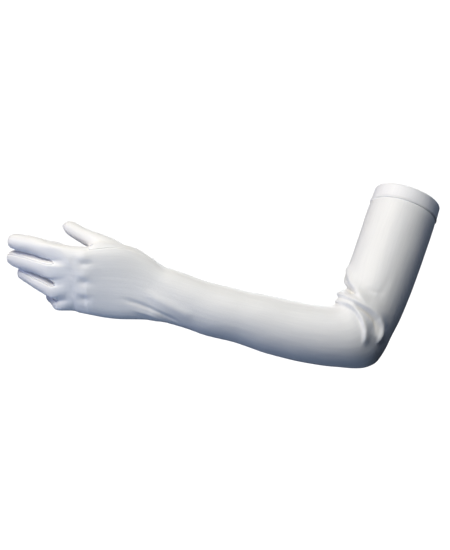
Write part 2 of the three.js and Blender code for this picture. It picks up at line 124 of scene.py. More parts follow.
# Finger sections from the web to the tip; the last row is the tip itself.
FINGER_TABLES = {
    "index": [
        (-387.5, -71.5, -58.9, 15, 9.3, 10.8, 3.6),
        (-396.5, -69, -57.1, 15, 9.7, 9.9, 2.6),
        (-406, -65.5, -54.4, 15, 9.8, 9.4, 2.2),
        (-415.5, -61, -51.9, 15, 9.7, 8.9, 2),
        (-425, -56, -50.2, 15, 9.3, 8.5, 2),
        (-432, -51.5, -48.6, 15, 8.6, 8, 2),
        (-436.8, -48.3, -47.8, 15, 6.8, 6.5, 2),
        (-439.6, -46.4, -47.3, 15, 0, 0, 2),
    ],
    "middle": [
        (-388.5, -69.5, -79, 18, 9.8, 10.8, 3.6),
        (-396.5, -66.3, -77.2, 20, 9.6, 9.6, 2.6),
        (-405.5, -61, -74.4, 23, 9.6, 9.1, 2.2),
        (-415, -54.8, -71.7, 25, 10.2, 8.7, 2),
        (-424.5, -47.8, -69.3, 25, 10, 8.4, 2),
        (-433, -41.7, -66.8, 24, 9.1, 7.8, 2),
        (-439, -38, -65.6, 22, 6.8, 6.1, 2),
        (-442.2, -35.9, -65.2, 22, 0, 0, 2),
    ],
    "ring": [
        (-385.8, -64, -100.8, 20, 8.4, 10, 3.4),
        (-393, -60, -99, 22, 8.5, 9, 2.4),
        (-400.5, -55.5, -95.4, 25, 8.3, 8.6, 2.2),
        (-408.5, -49.5, -91.6, 26, 8, 8.2, 2),
        (-416, -43, -87.4, 26, 7.8, 7.8, 2),
        (-423, -37, -84.1, 26, 7.3, 7.2, 2),
        (-427.6, -32.6, -82.2, 24, 6, 5.9, 2),
        (-430.2, -30.4, -81.4, 24, 0, 0, 2),
    ],
    "little": [
        (-381.2, -57.5, -115.9, 22, 6.8, 9, 3),
        (-385.2, -50, -114.4, 24, 7, 8.2, 2.4),
        (-387.8, -42, -112.8, 26, 7.2, 7.7, 2.2),
        (-390.6, -33.5, -111.2, 26, 7.1, 7.3, 2),
        (-393.4, -25.5, -109.8, 26, 6.9, 7.1, 2),
        (-395.8, -18.5, -108.6, 26, 6.5, 6.6, 2),
        (-397.5, -14, -108, 26, 5, 5.1, 2),
        (-398.4, -11.7, -107.7, 26, 0, 0, 2),
    ],
}
FINGERS = {
    name: table("x y z roll wide deep square", rows) for name, rows in FINGER_TABLES.items()
}

# Thumb sections from the opening to the tip. tilt: angle of the section's width above level.
# swing: its turn towards the palm. upright: 1 keeps the section level, 0 sets it square to the
# thumb. arch: rise of its middle over its ends.
THUMB = table(
    "x y z tilt swing upright arch wide deep square",
    [
        (-319.6, -75, -57.2, -9.5, 9.5, 1, 4.8, 28.6, 6.2, 4),
        (-328.6, -73.4, -54.2, -1, 8, 0.9, 3, 21.4, 8.4, 2.8),
        (-337, -70, -50.4, 13, 5, 0.6, 1.2, 15.2, 9.8, 2.3),
        (-344.8, -66, -47.3, 27, 0, 0.3, 0, 11.8, 10.4, 2),
        (-352.4, -62, -44.3, 39, 0, 0, 0, 9.7, 9.8, 2),
        (-360.8, -58.8, -40.2, 47, 0, 0, 0, 8.5, 9.1, 2),
        (-368.6, -56, -35.6, 57, 0, 0, 0, 8, 8.5, 2),
        (-374.9, -53.9, -32.3, 67, 0, 0, 0, 6.5, 6.8, 2),
        (-379.3, -52.5, -31, 70, 0, 0, 0, 0, 0, 2),
    ],
)

# Folds of the cloth, and the knuckles under it. height: stands out from the cloth, less than 0
# sinks in. width: of the slope on the side towards the fingertips. hem_side: width of the other
# slope, as a share of that. path: points near the cloth that the fold runs along.
FOLDS = table(
    "height width hem_side path",
    [
        # Bent elbow, seen from the back of the hand: ridges from the inner elbow down
        (3.1, 2, 2.6, [
            (-86, -46, -117), (-79.4, -80, -114.8), (-70.8, -95, -116.9), (-64.4, -98, -121.7),
            (-60.2, -99, -127.6), (-57, -99, -135), (-55.4, -97, -144.6), (-56.2, -90, -163),
        ]),
        (4.3, 1.9, 3.8, [
            (-84, -46, -107.6), (-78.3, -74, -107.3), (-70.8, -92, -110.5), (-64.4, -97, -113.7),
            (-57, -98, -118), (-49.5, -98, -122.2), (-43.1, -97, -127.6), (-38.9, -94, -135),
            (-37.3, -89, -143.5), (-41.6, -82, -161),
        ]),
        (2.6, 2.4, 3, [
            (-70.5, -44, -75), (-72.5, -74, -81.8), (-70.8, -86, -87.1), (-67.6, -92, -94.5),
            (-63.4, -96, -102), (-58, -98, -109.5), (-50.6, -98, -116.9),
        ]),
        # The hollows between them
        (-9.5, 3.4, 1, [
            (-68, -12, -95), (-77, -36, -96.6), (-78.5, -56, -97), (-77.4, -72, -97.2),
            (-71, -90, -101), (-64, -96, -106.5),
        ]),
        (-1.8, 4, 0.45, [
            (-80.4, -78, -118), (-73, -94, -119.9), (-67.6, -97, -123.8), (-63.4, -98, -129.2),
            (-60.2, -98, -136.1), (-59.1, -96, -144.6),
        ]),
        (-3, 5, 0.36, [
            (-68.6, -96, -114.4), (-60.8, -98, -119.2), (-53.8, -98, -124.8), (-47.6, -97, -130.6),
            (-43.6, -94, -137.2), (-42.4, -88, -152),
        ]),
        (-2.4, 4.4, 0.5, [
            (-75.1, -80, -87.1), (-71.9, -88, -94.5), (-67.6, -93, -100.9), (-63.4, -96, -106.8),
        ]),
        # Faint creases above them
        (0.5, 2.5, 1, [(-60, -98, -98.2), (-47.4, -98, -95.6), (-41, -97, -95.4)]),
        (-0.7, 2.6, 1, [(-61, -97, -101.6), (-48.5, -98, -102.5), (-37.9, -97, -104.1), (-30, -94, -106)]),
        (-0.35, 3, 1, [(-22.9, -76, -81.8), (-33, -88, -99), (-43.1, -97, -118)]),
        # Wrist
        (-1.4, 2.3, 1, [
            (-317, -90, -108.6), (-299.8, -91, -115.2), (-283.8, -91, -121.4), (-267.8, -90, -128.8),
            (-250, -88, -137.6),
        ]),
        (0.8, 1.9, 1, [
            (-308, -87, -120.2), (-289.1, -86, -126.6), (-275.3, -84, -132), (-260, -82, -138),
        ]),
        (-0.6, 1.9, 1, [(-309, -85, -123.8), (-294, -84, -129.4), (-280, -82, -135)]),
        (1.2, 5, 1, [
            (-294.4, -92, -100.9), (-267.8, -93, -115.8), (-246.6, -93, -126.4), (-234.9, -93, -131.8),
        ]),
        # Knuckles, and the dips below them
        (0.9, 6.5, 1, [(-366, -86, -65.2), (-356, -86, -65.6), (-346, -87, -66.4)]),
        (-1.2, 4, 1, [(-364, -85, -72), (-354, -86, -73), (-343, -87, -75)]),
        (0.9, 6.5, 1, [(-368, -85, -84.6), (-358, -86, -85), (-347, -87, -86)]),
        (-1.2, 4, 1, [(-365, -85, -91.8), (-355, -86, -92.8), (-344, -87, -94.6)]),
        (0.9, 6.5, 1, [(-368, -85, -103), (-358, -86, -103.6), (-347, -87, -104.6)]),
        (-1.2, 4, 1, [(-366, -85, -110.2), (-356, -86, -111), (-345, -87, -112.8)]),
        # Far side of the elbow
        (2.6, 4.2, 1, [(-84, -46, -114), (-74, -42, -116), (-62, -38, -127), (-57, -38, -142)]),
        (2.8, 4.2, 1, [(-82, -46, -106), (-70, -36, -105), (-54, -30, -113), (-44, -30, -128)]),
        # Palm
        (-1.2, 4, 1, [(-345, -58, -70), (-325, -57, -78), (-305, -56, -92), (-297, -56, -108)]),
        (-1, 4, 1, [(-352, -58, -84), (-335, -58, -92), (-322, -57, -108)]),
        (1.4, 4, 1, [(-286, -54, -84), (-262, -51, -100), (-246, -51, -118)]),
        (-1.2, 3.4, 1, [(-294, -55, -98), (-268, -52, -112), (-250, -51, -128)]),
    ],
)


# Sections and rings

def radians(row, name):
    return math.radians(row[name])


def middle(row):
    return np.array([row["x"], row["y"], row["z"]], float)


def unit(vector):
    return vector / max(np.linalg.norm(vector), TINY)


def rounded(value, square):
    """Sine or cosine of a turn, pushed out towards the corners of a boxier section."""
    return np.sign(value) * np.abs(value) ** (2 / square)


def between(rows, index, t):
    """Cubic through the table rows, with slopes taken over the neighbouring rows."""
    before, start = rows[max(index - 1, 0)], rows[index]
    end, after = rows[min(index + 1, len(rows) - 1)], rows[min(index + 2, len(rows) - 1)]

    def gap(p, q):
        return max(np.linalg.norm(middle(p) - middle(q)), TINY)

    span = gap(start, end)
    row = {}
    for key in start:
        slope_in = (end[key] - before[key]) / (span if before is start else span + gap(before, start))
        slope_out = (after[key] - start[key]) / (span if after is end else span + gap(end, after))
        row[key] = (
            start[key] * (2 * t**3 - 3 * t**2 + 1)
            + end[key] * (3 * t**2 - 2 * t**3)
            + slope_in * span * (t**3 - 2 * t**2 + t)
            + slope_out * span * (t**3 - t**2)
        )
    return row


def sleeve_rings():
    """All rings of the sleeve, with the section that each one starts from."""
    rings = []
    for index, row in enumerate(SLEEVE):
        steps = row["steps"] if index < len(SLEEVE) - 1 else 1
        for step in range(steps):
            ring = dict(row) if step == 0 else between(SLEEVE, index, step / steps)
            ring["section"] = index
            rings.append(ring)
    return rings


def sleeve_points(row):
    """Points evenly spaced along a rounded section, starting half a step past the thumb side."""
    tilt, roll, lean = (radians(row, name) for name in ("tilt", "roll", "lean"))
    across = np.array([math.sin(tilt) * math.cos(roll), -math.sin(roll), math.cos(tilt) * math.cos(roll)])
    along = np.array([-math.cos(tilt), 0, math.sin(tilt)])
    through = np.cross(along, across) * math.cos(lean) + along * math.sin(lean)
    turn = np.linspace(0, 2 * np.pi, OUTLINE_SAMPLES + 1)
    w = row["wide"] * rounded(np.cos(turn), row["square"])
    d = row["deep"] * rounded(np.sin(turn), row["square"])
    lengths = np.concatenate([[0], np.cumsum(np.hypot(np.diff(w), np.diff(d)))])
    wanted = (np.arange(SLEEVE_COLUMNS) + 0.5) / SLEEVE_COLUMNS * lengths[-1]
    w, d = np.interp(wanted, lengths, w), np.interp(wanted, lengths, d)
    return middle(row) + np.outer(w, across) - np.outer(d, through)


def digit_direction(rows, index):
    return unit(middle(rows[min(index + 1, len(rows) - 1)]) - middle(rows[max(index - 1, 0)]))


def digit_ring(row, side, back):
    """Ring of a digit: three columns each over the back, the far side, the palm, the thumb side."""
    turn = np.radians(-45 + 360 / FINGER_COLUMNS * np.arange(FINGER_COLUMNS))
    points = middle(row) + np.outer(row["deep"] * rounded(np.cos(turn), row["square"]), back)
    points -= np.outer(row["wide"] * rounded(np.sin(turn), row["square"]), side)
    points[:, 2] += row.get("arch", 0) * np.cos(turn) ** 2
    return points


def finger_frame(rows, index):
    """A finger leaves the palm halfway between the palm's direction and its own."""
    along = digit_direction(rows, index)
    if index == 0:
        along = unit(along + np.array(PALM_DIRECTION))
    roll = radians(rows[index], "roll")
    side = np.array([0, -math.sin(roll), math.cos(roll)])
    side = unit(side - along * side.dot(along))
    return side, np.cross(side, along)


def thumb_frame(rows, index):
    """The thumb's opening faces up, and its first sections turn to its own direction."""
    tilt, swing = radians(rows[index], "tilt"), radians(rows[index], "swing")
    side = np.array([math.cos(tilt) * math.cos(swing), math.sin(swing), math.sin(tilt)])
    upright = rows[index]["upright"]
    along = digit_direction(rows, index) * (1 - upright) + np.array([0, 0, 1]) * upright
    return side, unit(np.cross(side, along))


# The cloth as one sheet of four-cornered faces

class Cloth:
    """Points, and faces with the piece each is cut from and its place on the cut cloth."""

    def __init__(self):
        self.points, self.faces, self.pieces, self.places = [], [], [], []

    def add_points(self, points):
        first = len(self.points)
        self.points.extend(points)
        return list(range(first, len(self.points)))

    def add_face(self, corners, piece, places):
        self.faces.append(corners)
        self.pieces.append(PIECES.index(piece))
        self.places.append(places)

    def add_band(self, start, end, piece_at, column, start_length, end_length):
        """Faces between two rings; piece_at names the piece of each column, or None."""
        for i in range(len(start)):
            after = (i + 1) % len(start)
            piece = piece_at(i)
            if piece:
                left, right = column + i, column + i + 1
                self.add_face(
                    [start[i], end[i], end[after], start[after]],
                    piece,
                    [(left, start_length), (left, end_length), (right, end_length), (right, start_length)],
                )

    def add_tip(self, ring, rows, frame_of_tip, piece, length):
        """Closed end of a digit: three by three faces inside the last ring."""
        side, back = frame_of_tip
        last, tip = rows[-2], middle(rows[-1])
        inset = TIP_INSET * math.sqrt(0.5)
        inner = [
            tip + back * b * inset * last["deep"] + side * s * inset * last["wide"]
            for b, s in ((1, 1), (1, -1), (-1, 1), (-1, -1))
        ]
        back_thumb, back_outer, palm_thumb, palm_outer = self.add_points(inner)
        grid = [
            [ring[0], ring[1], ring[2], ring[3]],
            [ring[11], back_thumb, back_outer, ring[4]],
            [ring[10], palm_thumb, palm_outer, ring[5]],
            [ring[9], ring[8], ring[7], ring[6]],
        ]
        for i in range(3):
            for j in range(3):
                corners = [grid[i][j], grid[i + 1][j], grid[i + 1][j + 1], grid[i][j + 1]]
                places = [
                    (j, length + i * COLUMN_WIDTH),
                    (j, length + (i + 1) * COLUMN_WIDTH),
                    (j + 1, length + (i + 1) * COLUMN_WIDTH),
                    (j + 1, length + i * COLUMN_WIDTH),
                ]
                self.add_face(corners, piece, places)


def distances(rows):
    """Length along the middles of the rows, up to each of them."""
    middles = np.array([middle(row) for row in rows])
    return np.concatenate([[0], np.cumsum(np.linalg.norm(np.diff(middles, axis=0), axis=1))])


def add_sleeve(cloth):
    rings = sleeve_rings()
    lengths = distances(rings)
    last = len(SLEEVE) - 1
    near, far = last - THUMB_OPENING_NEAR, last - THUMB_OPENING_FAR
    columns = []
    for row in rings:
        points = sleeve_points(row)
        if near < row["section"] < far:
            columns.append([None, *cloth.add_points(points[1:-1]), None])
        else:
            columns.append(cloth.add_points(points))

    for i in range(len(rings) - 1):
        section = rings[i]["section"]
        own = "hem_band" if section < 1 else "hand_and_sleeve"

        def piece_at(column):
            in_opening = near <= section < far and (column == 0 or column >= SLEEVE_COLUMNS - 2)
            return None if in_opening else own

        cloth.add_band(columns[i], columns[i + 1], piece_at, 0, lengths[i], lengths[i + 1])
    opening = [columns[i] for i, row in enumerate(rings) if near <= row["section"] <= far]
    # Only the first ring of the far section bounds the opening
    opening = opening[: THUMB_OPENING_NEAR - THUMB_OPENING_FAR + 1]
    return columns[-1], opening, lengths[-1]


def add_thumb(cloth, opening):
    """The thumb is a tube set into the opening beside the palm."""
    wrist, palm = opening[0], opening[-1]
    back_edge = [row[1] for row in opening]
    palm_edge = [row[-2] for row in reversed(opening)]
    ring = [*back_edge, palm[0], palm[-1], *palm_edge, wrist[-1], wrist[0]]
    lengths = distances(THUMB) + COLUMN_WIDTH
    before = 0.0
    for i in range(len(THUMB) - 1):
        points = cloth.add_points(digit_ring(THUMB[i], *thumb_frame(THUMB, i)))
        cloth.add_band(ring, points, lambda column: "thumb", 0, before, lengths[i])
        ring, before = points, lengths[i]
    cloth.add_tip(ring, THUMB, thumb_frame(THUMB, len(THUMB) - 2), "thumb", before)


def add_fingers(cloth, knuckles, knuckle_length):
    """Fingers, with a fourchette between each two: their facing sides and the web between."""

    def fourchette(finger):
        return f"fourchette_{FINGER_NAMES[finger]}_{FINGER_NAMES[finger + 1]}"

    first_rings = []
    for finger, name in enumerate(FINGER_NAMES):
        rows = FINGERS[name]

        def piece_at(column):
            if 3 <= column <= 5 and finger < 3:
                return fourchette(finger)
            if column >= 9 and finger > 0:
                return fourchette(finger - 1)
            return "hand_and_sleeve"

        lengths = distances(rows) + knuckle_length + WEB_LENGTH
        rings = [
            cloth.add_points(digit_ring(row, *finger_frame(rows, i)))
            for i, row in enumerate(rows[:-1])
        ]
        first_column = 1 + 4 * finger
        for i in range(len(rings) - 1):
            cloth.add_band(rings[i], rings[i + 1], piece_at, first_column, lengths[i], lengths[i + 1])
        tip_frame = finger_frame(rows, len(rows) - 2)
        cloth.add_tip(rings[-1], rows, tip_frame, "hand_and_sleeve", lengths[-2])
        first_rings.append(rings[0])
    backs = [point for ring in first_rings for point in ring[0:4]]
    palms = [point for ring in reversed(first_rings) for point in ring[6:10]]
    index, little = first_rings[0], first_rings[3]
    web = [index[11], *backs, little[4], little[5], *palms, index[10]]
    web_end = knuckle_length + WEB_LENGTH
    cloth.add_band(knuckles, web, lambda column: "hand_and_sleeve", 0, knuckle_length, web_end)
    for finger in range(3):
        upper = first_rings[finger][3:7]
        lower = [first_rings[finger + 1][column] for column in (0, 11, 10, 9)]
        for i in range(3):
            places = [(i, 0), (i + 1, 0), (i + 1, COLUMN_WIDTH), (i, COLUMN_WIDTH)]
            corners = [upper[i], upper[i + 1], lower[i + 1], lower[i]]
            cloth.add_face(corners, fourchette(finger), places)


# Smoothing

# CAGE_ROUNDS: corrections of the cage until its smooth surface meets the sections. EASE_IN,
# EASE_BACK: shares of the way to its neighbours that a point goes, and then goes back.
SMOOTHING_LEVELS = 2
CAGE_ROUNDS = 8
EASE_IN = 0.5
EASE_BACK = -0.515
EASE_ROUNDS = 40


def subdivided(cloth, points, levels):
    """Points, faces, pieces and places of the cloth's smooth surface."""
    mesh = bpy.data.meshes.new("cage")
    mesh.from_pydata(points.tolist(), [], cloth.faces)
    mesh.polygons.foreach_set("material_index", cloth.pieces)
    for _ in PIECES:
        mesh.materials.append(None)
    layer = mesh.uv_layers.new(name="places")
    layer.uv.foreach_set("vector", np.array(cloth.places, np.float32).ravel())
    cage = bpy.data.objects.new("cage", mesh)
    bpy.context.scene.collection.objects.link(cage)
    smooth = cage.modifiers.new("smooth", "SUBSURF")
    smooth.levels = levels
    smooth.use_limit_surface = True
    smooth.uv_smooth = "NONE"
    fine = cage.evaluated_get(bpy.context.evaluated_depsgraph_get()).to_mesh()
    count = len(fine.polygons)
    found = np.empty(len(fine.vertices) * 3, np.float32)
    fine.vertices.foreach_get("co", found)
    corners = np.empty(count * 4, np.int32)
    fine.loops.foreach_get("vertex_index", corners)
    pieces = np.empty(count, np.int32)
    fine.polygons.foreach_get("material_index", pieces)
    places = np.empty(count * 8, np.float32)
    fine.uv_layers[0].uv.foreach_get("vector", places)
    bpy.data.objects.remove(cage)
    bpy.data.meshes.remove(mesh)
    return (
        found.reshape(-1, 3).astype(float),
        corners.reshape(-1, 4),
        pieces,
        places.reshape(-1, 4, 2).astype(float),
    )


def smooth_surface(cloth):
    """The smooth surface that passes through the cloth's points."""
    wanted = np.array(cloth.points)
    cage = wanted.copy()
    for _ in range(CAGE_ROUNDS):
        cage += wanted - subdivided(cloth, cage, 1)[0][: len(wanted)]
    return subdivided(cloth, cage, SMOOTHING_LEVELS)


def outward_normals(points, faces):
    a, b, c, d = (points[faces[:, i]] for i in range(4))
    face_normals = np.cross(c - a, d - b)
    normals = np.zeros_like(points)
    for i in range(4):
        np.add.at(normals, faces[:, i], face_normals)
    return normals / np.maximum(np.linalg.norm(normals, axis=1, keepdims=True), TINY)


# Pressing the folds

# DEPTH_COUNTS: how much depth counts, beside height and length, in finding the nearest point.
# FOLD_TAPER: length at each end over which a fold fades out. FOLD_REACH: number of widths from its
# path that a fold is felt.
PATH_STEP = 2.0
DEPTH_COUNTS = 0.15
FOLD_TAPER = 14.0
FOLD_REACH = 3


def smooth_path(path):
    """Points along a smooth curve through those of a path."""
    path = np.array(path, float)
    ends = np.vstack([2 * path[0] - path[1], path, 2 * path[-1] - path[-2]])
    stretches = []
    for i in range(1, len(ends) - 2):
        p, q, r, s = ends[i - 1 : i + 3]
        count = max(int(np.linalg.norm(r - q) / PATH_STEP), 2)
        t = np.linspace(0, 1, count, endpoint=False)[:, None]
        square, cube = 2 * p - 5 * q + 4 * r - s, 3 * q - p - 3 * r + s
        stretches.append(0.5 * (2 * q + (r - p) * t + square * t**2 + cube * t**3))
    return np.vstack([*stretches, path[-1:]])


def laid_on(points, path):
    """A path moved in depth onto the nearest points."""
    flat = np.array([1, DEPTH_COUNTS, 1])
    tree = kdtree.KDTree(len(points))
    for i, point in enumerate(points * flat):
        tree.insert(point, i)
    tree.balance()
    nearest = [points[tree.find(Vector(place * flat))[1]] for place in path]
    return np.array([found * [0, 1, 0] + place * [1, 0, 1] for found, place in zip(nearest, path)])


def bell(distance, width):
    """1 at no distance, falling to nothing by about twice the width."""
    return np.exp(-((distance / width) ** 2))


def press_folds(points, normals, folds):
    """Points moved along their normals by the folds near them."""
    rise = np.zeros(len(points))
    for fold in folds:
        line = laid_on(points, smooth_path(fold["path"]))
        reach = FOLD_REACH * fold["width"] * max(fold["hem_side"], 1)
        low, high = line.min(0) - reach, line.max(0) + reach
        near = np.flatnonzero(((points > low) & (points < high)).all(1))
        away = points[near, None] - line[None]
        distance = np.linalg.norm(away, axis=2)
        nearest = distance.argmin(1)
        length = np.concatenate([[0], np.cumsum(np.linalg.norm(np.diff(line, axis=0), axis=1))])
        share = (length / length[-1])[nearest]
        ends = min(FOLD_TAPER / length[-1], 0.5)
        towards_end = np.clip(np.minimum(share, 1 - share) / ends, 0, 1)
        taper = towards_end * towards_end * (3 - 2 * towards_end)
        tangents = np.gradient(line, axis=0)[nearest]
        picked = np.arange(len(near))
        sideways = np.cross(normals[near], tangents)
        hemward = np.einsum("ij,ij->i", sideways, away[picked, nearest]) > 0
        width = fold["width"] * np.where(hemward, fold["hem_side"], 1)
        rise[near] += fold["height"] * taper * bell(distance[picked, nearest], width)
    return points + normals * rise[:, None]


# Seams

# A ridge runs each side of a seam, with puckers along it, and a groove along the side seam and
# under the hem. ROUNDING: lengths on the cloth count as equal within it.
HEM_LENGTH = float(np.linalg.norm(middle(SLEEVE[1]) - middle(SLEEVE[0])))
SEAM_RIDGE = 0.4
SEAM_RIDGE_AT = 1.1
SEAM_RIDGE_WIDTH = 0.9
SIDE_RIDGE_AT = 1.6
SIDE_RIDGE_WIDTH = 1.1
SIDE_GROOVE_WIDTH = 0.7
HEM_GROOVE = 0.5
HEM_GROOVE_AT = 0.6
HEM_GROOVE_WIDTH = 1.6
PUCKER_HEIGHT = 0.14
PUCKER_LENGTH = 8.5
PUCKER_REACH = 4.0
# The reach below is how far from a seam the painted highlight along it goes.
SEAM_HIGHLIGHT_REACH = 1.4
SEAM_ROUNDS = 10
ROUNDING = 1e-3


def half_edges(faces):
    """Start, end and face of every side of the faces, and the side that runs back along it."""
    start, end = faces.ravel(), np.roll(faces, -1, axis=1).ravel()
    face = np.repeat(np.arange(len(faces)), 4)
    key = np.minimum(start, end).astype(np.int64) * (faces.max() + 1) + np.maximum(start, end)
    order = np.argsort(key, kind="stable")
    twin = np.full(len(key), -1)
    same = np.flatnonzero(key[order][1:] == key[order][:-1])
    twin[order[same]], twin[order[same + 1]] = order[same + 1], order[same]
    return start, end, face, twin


def lengths_from(sources, points, start, end):
    """Length along the mesh from the nearest source point, as far as a few rounds reach."""
    found = np.full(len(points), np.inf)
    found[sources] = 0
    side = np.linalg.norm(points[start] - points[end], axis=1)
    for _ in range(SEAM_ROUNDS):
        np.minimum.at(found, start, found[end] + side)
        np.minimum.at(found, end, found[start] + side)
    return found


def on_points(values, faces, count):
    """Each point's value, from those at the corners of its faces."""
    found = np.zeros((count, *values.shape[2:]))
    found[faces.ravel()] = values.reshape(-1, *values.shape[2:])
    return found


def relaxed(points, held, start, end):
    """Points eased towards their neighbours and back, which takes out ripples but not shape."""
    count = np.bincount(start, minlength=len(points)) + np.bincount(end, minlength=len(points))
    for weight in (EASE_IN, EASE_BACK) * EASE_ROUNDS:
        total = np.zeros_like(points)
        np.add.at(total, start, points[end])
        np.add.at(total, end, points[start])
        points = points + np.where(held, 0, weight)[:, None] * (total / count[:, None] - points)
    return points


def seam_rise(place, seam_distance, side_distance, on_sleeve):
    """How far the cloth stands out by its seams and under its hem."""
    rise = SEAM_RIDGE * bell(seam_distance - SEAM_RIDGE_AT, SEAM_RIDGE_WIDTH)
    rise += SEAM_RIDGE * bell(side_distance - SIDE_RIDGE_AT, SIDE_RIDGE_WIDTH)
    rise -= SEAM_RIDGE * bell(side_distance, SIDE_GROOVE_WIDTH)
    below_hem = place[:, 1] - HEM_LENGTH
    under_hem = on_sleeve & (below_hem > -ROUNDING)
    rise -= HEM_GROOVE * bell(below_hem - HEM_GROOVE_AT, HEM_GROOVE_WIDTH) * under_hem
    pucker = np.cos(2 * np.pi * place[:, 1] / PUCKER_LENGTH)
    return rise + PUCKER_HEIGHT * pucker * bell(np.minimum(seam_distance, side_distance), PUCKER_REACH)


# Slack in the stretched cloth

# Broad hollows, and fine ripples that run lengthwise
HOLLOW_SIZE = 26
HOLLOW_DEPTH = 0.32
RIPPLE_WIDTH = 5
RIPPLE_LENGTH = 34
RIPPLE_DEPTH = 0.1


def slack(place, spot):
    """How far the cloth stands out at a spot by its uneven lie."""
    turn = 2 * math.pi * place[0] / SLEEVE_COLUMNS
    around = SLEEVE_COLUMNS * COLUMN_WIDTH / (2 * math.pi) / RIPPLE_WIDTH
    ripple = Vector((around * math.cos(turn), around * math.sin(turn), place[1] / RIPPLE_LENGTH))
    return HOLLOW_DEPTH * noise.noise(Vector(spot) / HOLLOW_SIZE) + RIPPLE_DEPTH * noise.noise(ripple)


# The whole surface, smoothed, folded and sewn

cloth = Cloth()
knuckles, thumb_opening, sleeve_length = add_sleeve(cloth)
add_thumb(cloth, thumb_opening)
add_fingers(cloth, knuckles, sleeve_length)
points, faces, pieces, places = smooth_surface(cloth)
start, end, face_of, twin = half_edges(faces)
point_place = on_points(places, faces, len(points))
on_seam = (twin >= 0) & (pieces[face_of] != pieces[face_of[twin]])
held = np.zeros(len(points), bool)
held[start[on_seam | (twin < 0)]] = True
points = relaxed(points, held, start, end)
points = press_folds(points, outward_normals(points, faces), FOLDS)

on_sleeve = point_place[:, 1] <= sleeve_length + ROUNDING
side_line = on_sleeve & (np.abs(point_place[:, 0] - SIDE_SEAM_COLUMN) < ROUNDING)
seam_distance = lengths_from(start[on_seam], points, start, end)
side_distance = lengths_from(np.flatnonzero(side_line), points, start, end)
rise = seam_rise(point_place, seam_distance, side_distance, on_sleeve)
rise += [slack(place, spot) for place, spot in zip(point_place, points)]
points = points + outward_normals(points, faces) * rise[:, None]
normals = outward_normals(points, faces)
# Nearness to a seam, which paints a highlight along the seams into the satin's colour.
seam_highlight_share = bell(np.minimum(seam_distance, side_distance), SEAM_HIGHLIGHT_REACH)


# Pieces as closed shells

def trimmed_border(index):
    """Sides on a piece's border, and the way in from it at each point of the cloth.

    way: unit vector into the piece, 0 away from its border. widen: length to go that way for each
    unit square to the border. free: points on an edge where the cloth ends.
    """
    inside = pieces[face_of] == index
    border = np.flatnonzero(inside & ((twin < 0) | (pieces[face_of[twin]] != index)))
    along = points[end] - points[start]
    along /= np.linalg.norm(along, axis=1, keepdims=True)
    into = points[faces].mean(1)[face_of] - points[start]
    into -= along * np.einsum("ij,ij->i", into, along)[:, None]
    into /= np.linalg.norm(into, axis=1, keepdims=True)
    own_way, other_way = np.zeros_like(points), np.zeros_like(points)
    free = np.zeros(len(points), bool)
    other = np.where((twin[border] < 0)[:, None], -into[border], into[twin[border]])
    for corner in (start[border], end[border]):
        np.add.at(own_way, corner, into[border])
        np.add.at(other_way, corner, other)
        free[corner[twin[border] < 0]] = True
    size = np.linalg.norm(own_way, axis=1)
    rim = size > TINY
    way = np.zeros_like(points)
    way[rim] = own_way[rim] / size[rim, None]
    other_unit = other_way / np.maximum(np.linalg.norm(other_way, axis=1, keepdims=True), TINY)
    cosine = np.clip(np.einsum("ij,ij->i", way, other_unit), -1, 1)
    widen = 1 / np.maximum(np.sqrt((1 - cosine) / 2) * size / 2, SHARPEST_SEAM)
    return border, rim, way, widen, free


def shell(name):
    """Points, faces and cloth places of one piece: two layers with rounded edges between them."""
    index = PIECES.index(name)
    hem = name == "hem_band"
    thickness = HEM_THICKNESS if hem else CLOTH_THICKNESS
    proud = HEM_STANDS_PROUD if hem else 0
    border, rim, way, widen, free = trimmed_border(index)
    own_faces, own_places = faces[pieces == index], places[pieces == index]
    used, local = np.unique(own_faces, return_inverse=True)
    local = local.reshape(-1, 4)
    gap = np.where(free, 0, SEAM_GAP / 2)
    base = (points + way * ((gap + thickness / 2) * widen)[:, None])[used]
    out = normals[used]
    layers = [base + out * proud, base + out * (proud - thickness)]
    edge = np.flatnonzero(rim[used])
    bulge = -way[used][edge] * (thickness / 2 * widen[used][edge])[:, None]
    centre = base[edge] + out[edge] * (proud - thickness / 2)
    for step in range(1, EDGE_STEPS):
        turn = math.pi * step / EDGE_STEPS
        layers.append(centre + out[edge] * (thickness / 2 * math.cos(turn)) + bulge * math.sin(turn))

    count = len(used)
    quads = [local, local[:, ::-1] + count]
    where = [own_places, own_places[:, ::-1]]
    to_local, to_edge = np.full(len(points), -1), np.full(count, -1)
    to_local[used], to_edge[edge] = np.arange(count), np.arange(len(edge))
    a, b = to_local[start[border]], to_local[end[border]]
    corner = border % 4
    a_place = places[face_of[border], corner]
    b_place = places[face_of[border], (corner + 1) % 4]
    first_of_edges = [2 * count + step * len(edge) for step in range(EDGE_STEPS - 1)]
    rows = [(a, b), *((first + to_edge[a], first + to_edge[b]) for first in first_of_edges)]
    rows.append((count + a, count + b))
    for (a0, b0), (a1, b1) in zip(rows, rows[1:]):
        quads.append(np.stack([b0, a0, a1, b1], 1))
        where.append(np.stack([b_place, a_place, a_place, b_place], 1))
    # Nearness to a seam at each point, for the painted highlight along the seams.
    shade = seam_highlight_share[used]
    seam_highlights = [shade, shade] + [shade[edge]] * (EDGE_STEPS - 1)
    return np.vstack(layers), np.vstack(quads), np.vstack(where), np.concatenate(seam_highlights)


